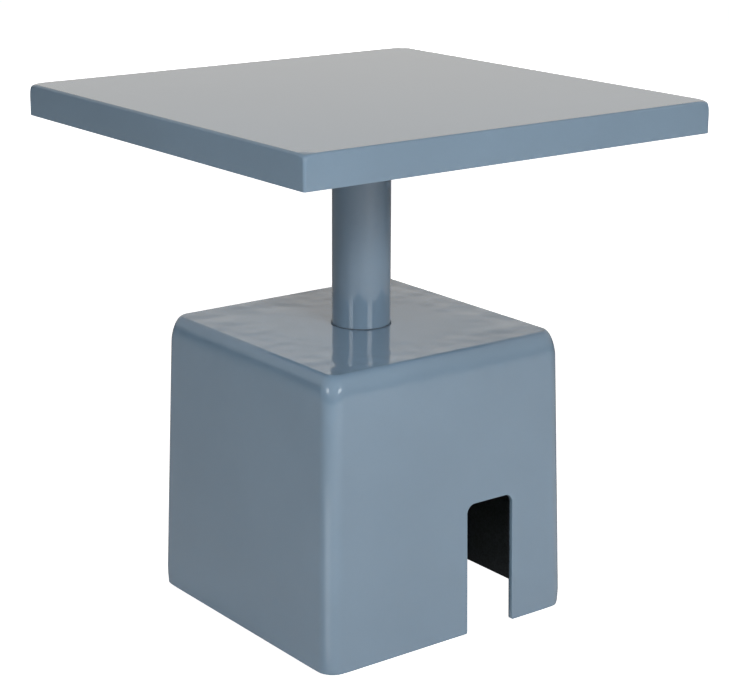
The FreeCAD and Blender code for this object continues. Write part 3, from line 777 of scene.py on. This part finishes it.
# %% Weld seams inside the top
SHEET = 0.002
BEAD_LEG, BEAD_FLAT, BEAD_MARGIN = 0.0040, 0.22, 0.0012
BEAD_STEPS, BEAD_TURNS = 96, 8
END_SIZE, END_GROWTH = 0.35, 9.0
WANDERS = ((0.06, 310.0, 1.0), (0.04, 870.0, 2.3))
RIPPLE_PITCH, RIPPLE_DEPTH, RIPPLE_LAG = 0.0022, 0.11, 1.5
SEED_STEP = 1.7
BEAD_SMOOTH_BELOW = 75.0
TRAY_CORNERS = ((1, 1), (-1, 1), (-1, -1), (1, -1))


def add_bead(mesh, corner_x, corner_y, low, high, seed):
    rows = []
    side_x, side_y = math.copysign(1.0, corner_x), math.copysign(1.0, corner_y)
    for step in range(BEAD_STEPS + 1):
        share = step / BEAD_STEPS
        level = low + (high - low) * share
        ends = min(1.0, END_GROWTH * min(share, 1.0 - share) + END_SIZE)
        wander = sum(size * math.sin(level * rate + lag * seed) for size, rate, lag in WANDERS)
        row = []
        for turn in range(BEAD_TURNS + 1):
            angle = 0.5 * math.pi * turn / BEAD_TURNS
            bow = math.sin(2.0 * angle)
            ripple = math.sin(2.0 * math.pi * level / RIPPLE_PITCH + RIPPLE_LAG * bow + seed)
            size = BEAD_LEG * ends * (1.0 + wander - BEAD_FLAT * bow + RIPPLE_DEPTH * ripple * bow)
            row.append(mesh.verts.new((corner_x - side_x * size * math.cos(angle),
                                       corner_y - side_y * size * math.sin(angle), level)))
        row.append(mesh.verts.new((corner_x, corner_y, level)))
        rows.append(row)
    skin_rings(mesh, rows)


tray_low, tray_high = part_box("top_tray")
mesh = bmesh.new()
for index, (x, y) in enumerate(TRAY_CORNERS):
    add_bead(mesh, x * (tray_high[0] - SHEET), y * (tray_high[1] - SHEET),
             tray_low[2] + BEAD_MARGIN, tray_high[2] - SHEET, SEED_STEP * index)
finished_piece("corner_welds", mesh, node["top_tray"].data.materials[0],
               smooth_below=BEAD_SMOOTH_BELOW)

# %% [markdown]
# Some edges of the real table were worked over by hand after it was folded or moulded. Blender's bevel gives
# every edge one radius, and a hand has none. So such a piece is drawn from a copy of its CAD mesh, cut
# into smaller faces where the work was done. The cuts need the shading of the CAD mesh carried along,
# face corner by face corner, so it is kept in an attribute while the copy is cut.

# %% Cutting a copy
WELD_DISTANCE = 0.000001
FLAT_ANGLE = math.radians(0.05)
AXES = (Vector((1.0, 0.0, 0.0)), Vector((0.0, 1.0, 0.0)), Vector((0.0, 0.0, 1.0)))
SHADING = "kept_shading"


def cut_mesh(mesh, half, levels, insets):
    """Cut at some levels and, between the outermost two, inside the four sides."""
    for level in levels:
        everything = mesh.verts[:] + mesh.edges[:] + mesh.faces[:]
        bmesh.ops.bisect_plane(mesh, geom=everything, dist=WELD_DISTANCE,
                               plane_co=AXES[2] * level, plane_no=AXES[2])
    low, high = min(levels) - WELD_DISTANCE, max(levels) + WELD_DISTANCE
    planes = [(side * (half - inset), axis) for inset in insets for side in (-1, 1) for axis in AXES[:2]]
    for place, axis in planes:
        zone = [face for face in mesh.faces if all(low <= vertex.co.z <= high for vertex in face.verts)]
        edges = list(dict.fromkeys(edge for face in zone for edge in face.edges))
        points = list(dict.fromkeys(vertex for face in zone for vertex in face.verts))
        bmesh.ops.bisect_plane(mesh, geom=points + edges + zone, dist=WELD_DISTANCE,
                               plane_co=axis * place, plane_no=axis)


def cut_copy(name, half, levels, insets):
    """Copy a CAD mesh with cuts, and give the shading direction of each of its face corners."""
    data = node[name].data.copy()
    kept = data.attributes.new(SHADING, "FLOAT_VECTOR", "CORNER")
    for corner, normal in zip(kept.data, data.corner_normals):
        corner.vector = normal.vector
    mesh = bmesh.new()
    mesh.from_mesh(data)
    bmesh.ops.remove_doubles(mesh, verts=mesh.verts[:], dist=WELD_DISTANCE)
    bmesh.ops.dissolve_limit(mesh, angle_limit=FLAT_ANGLE, verts=mesh.verts[:], edges=mesh.edges[:])
    cut_mesh(mesh, half, levels, insets)
    bmesh.ops.remove_doubles(mesh, verts=mesh.verts[:], dist=WELD_DISTANCE)
    mesh.to_mesh(data)
    mesh.free()
    data.shade_smooth()
    kept = data.attributes[SHADING]
    shading = [corner.vector.normalized() for corner in kept.data]
    data.attributes.remove(kept)
    return data, shading


print("points closer than", WELD_DISTANCE * 1e6, "micrometres are welded")

# %% [markdown]
# Then each point moves by a share that grows towards the corner. The shading direction has to turn with it:
# the slopes of the move, measured in three tiny steps, say how.

# %% Moving its points
TINY_STEP = 0.00001


def nearness(value, start, end):
    return min(max((value - start) / (end - start), 0.0), 1.0) ** 2


def turned_shading(move, spot, direction):
    slopes = Matrix([(move(spot + TINY_STEP * axis) - move(spot)) / TINY_STEP for axis in AXES])
    return (slopes.inverted() @ direction).normalized()


def shift_points(data, shading, move):
    """Move the points of a mesh and turn their shading directions along."""
    for loop in data.loops:
        spot = data.vertices[loop.vertex_index].co
        if move(spot) != spot:
            shading[loop.index] = turned_shading(move, spot, shading[loop.index])
    for vertex in data.vertices:
        vertex.co = move(vertex.co)


def worked_piece(name, data, shading, replaced):
    data.normals_split_custom_set(shading)
    join_table(name, data, replaced)


print("slopes are measured over", TINY_STEP * 1e6, "micrometres")

# %% [markdown]
# Where three folds meet, the welded corner of the top is ground off by hand, so it dips and softens over
# the last centimetre. The cuts lie closer together towards the corner, where it bends most.

# %% Ground corners of the top
GROUND_REACH = 0.014
GROUND_DOWN = 0.012
GROUND_INSETS = (0.0030, 0.0045, 0.0065, 0.0090, GROUND_REACH)
GROUND_DROPS = (0.0, 0.0035, 0.0055, 0.0080, GROUND_DOWN)
GROUND_SIDE_LOSS = 0.0015
GROUND_TOP_LOSS = 0.0024
TRAY_HALF, TRAY_TOP = tray_high[0], tray_high[2]


def ground(spot):
    """Where a point of the top ends up after grinding."""
    near = (nearness(abs(spot.x), TRAY_HALF - GROUND_REACH, TRAY_HALF)
            * nearness(abs(spot.y), TRAY_HALF - GROUND_REACH, TRAY_HALF)
            * nearness(spot.z, TRAY_TOP - GROUND_DOWN, TRAY_TOP))
    return spot - near * Vector((math.copysign(GROUND_SIDE_LOSS, spot.x),
                                 math.copysign(GROUND_SIDE_LOSS, spot.y), GROUND_TOP_LOSS))


sheet, shading = cut_copy("top_tray", TRAY_HALF, [TRAY_TOP - drop for drop in GROUND_DROPS], GROUND_INSETS)
shift_points(sheet, shading, ground)
worked_piece("ground_top", sheet, shading, "top_tray")

# %% [markdown]
# The base comes out of its mould with plain round edges and is sanded by hand before it is painted. A hand
# doesn't keep to a circle: it leaves the top flat almost to the edge, lets the wall lean in well before
# the bend, and takes more off the corners. So the points of the upper edge slide from a quarter circle
# to a tall quarter ellipse. The slope of an ellipse is known, so each of them gets its exact shading
# direction, with no need for tiny steps.

# %% Sanded upper edge of the base
CROWN_RADIUS = 0.014
UPRIGHT_RADIUS = 0.015
CROWN_FROM, CROWN_TO = math.radians(2.4), math.radians(87.6)
SANDED_ACROSS = 0.009
SANDED_DOWN = 0.023
CORNER_LOSS = 0.0045
CROWN_SLACK = 0.0003
WALL = 0.005


def half_width(level):
    return RIM_HALF - WALL_LEAN * (level - RIM_LEVEL)


def sanded(spot):
    """New place and shading direction of a point of the outer upper edge, or None for any other point."""
    inner = half_width(spot.z) - UPRIGHT_RADIUS
    beyond = Vector((abs(spot.x) - inner, abs(spot.y) - inner))
    in_corner = min(beyond) > -CROWN_SLACK
    across = UPRIGHT_RADIUS - (beyond.length if in_corner else max(beyond))
    arm = Vector((CROWN_RADIUS - across, CROWN_RADIUS - BASE_TOP + spot.z))
    if min(arm) < -CROWN_SLACK or arm.length < CROWN_RADIUS - WALL / 2:
        return None
    bend = math.atan2(arm.y, arm.x)
    bend = 0.5 * math.pi * min(max((bend - CROWN_FROM) / (CROWN_TO - CROWN_FROM), 0.0), 1.0)
    across = SANDED_ACROSS * (1.0 - math.cos(bend))
    risen = math.sin(bend)
    level = BASE_TOP - SANDED_DOWN * (1.0 - risen)
    radius = UPRIGHT_RADIUS + CORNER_LOSS * risen
    new_inner = half_width(level) - radius
    if in_corner:
        aim = beyond.normalized()
        plan = Vector((new_inner, new_inner)) + (radius - across) * aim
    else:
        aim = Vector((1.0, 0.0)) if beyond.x > beyond.y else Vector((0.0, 1.0))
        plan = Vector((abs(spot.x), abs(spot.y))) * (new_inner / inner)
        plan = plan - aim * plan.dot(aim) + aim * (new_inner + radius - across)
    sign = Vector((math.copysign(1.0, spot.x), math.copysign(1.0, spot.y)))
    lean = WALL_LEAN + (aim.x + aim.y - 1.0) * CORNER_LOSS / SANDED_DOWN
    upright = SANDED_DOWN * math.cos(bend)
    shade = Vector((sign.x * aim.x * upright, sign.y * aim.y * upright,
                    SANDED_ACROSS * math.sin(bend) + lean * upright))
    return Vector((sign.x * plan.x, sign.y * plan.y, level)), shade.normalized()


print("the upper edge is sanded", SANDED_DOWN * 1000, "mm down")

# %% [markdown]
# At the floor the four uprights are rubbed in a little, so that they don't chip. That is the same kind of
# move as at the corners of the top, so the same helpers do it, and the shell with both its worked
# edges takes the place of the CAD shell.

# %% Rubbed lower corners of the base
RUBBED_REACH = 0.026
RUBBED_RISE = 0.020
RUBBED_INSETS = (0.0040, 0.0070, 0.0110, 0.0160, RUBBED_REACH)
RUBBED_RISES = (0.0, 0.0030, 0.0060, 0.0100, 0.0160, RUBBED_RISE)
RUBBED_LOSS = 0.0024


def rubbed(spot):
    """Where a point near the floor ends up after the uprights are rubbed in."""
    near = (nearness(abs(spot.x), RIM_HALF - RUBBED_REACH, RIM_HALF)
            * nearness(abs(spot.y), RIM_HALF - RUBBED_REACH, RIM_HALF)
            * nearness(-spot.z, -RIM_LEVEL - RUBBED_RISE, -RIM_LEVEL))
    return spot - near * Vector((math.copysign(RUBBED_LOSS, spot.x),
                                 math.copysign(RUBBED_LOSS, spot.y), 0.0))


shell, shading = cut_copy("base_shell", RIM_HALF, [RIM_LEVEL + rise for rise in RUBBED_RISES], RUBBED_INSETS)
moves = {vertex.index: sanded(vertex.co) for vertex in shell.vertices}
for loop in shell.loops:
    if moves[loop.vertex_index]:
        shading[loop.index] = moves[loop.vertex_index][1]
for vertex in shell.vertices:
    if moves[vertex.index]:
        vertex.co = moves[vertex.index][0]
shift_points(shell, shading, rubbed)
worked_piece("sanded_base", shell, shading, "base_shell")
print("points sanded:", sum(1 for move in moves.values() if move), "of", len(moves))

# %% [markdown]
# Moulded rubber has no knife edges. Here one radius is right, so a bevel modifier rounds the four feet. It
# leaves their CAD mesh as it is, because modifiers only act on what is drawn.

# %% Softened feet
FOOT_ROUNDING = 0.0008
FOOT_SEGMENTS = 3

for name in FEET:
    bevel = node[name].modifiers.new("moulded_edges", "BEVEL")
    bevel.width = FOOT_ROUNDING
    bevel.segments = FOOT_SEGMENTS
    bevel.limit_method = "ANGLE"
    bevel.harden_normals = True
    print(name, "edges rounded by", FOOT_ROUNDING * 1000, "mm")
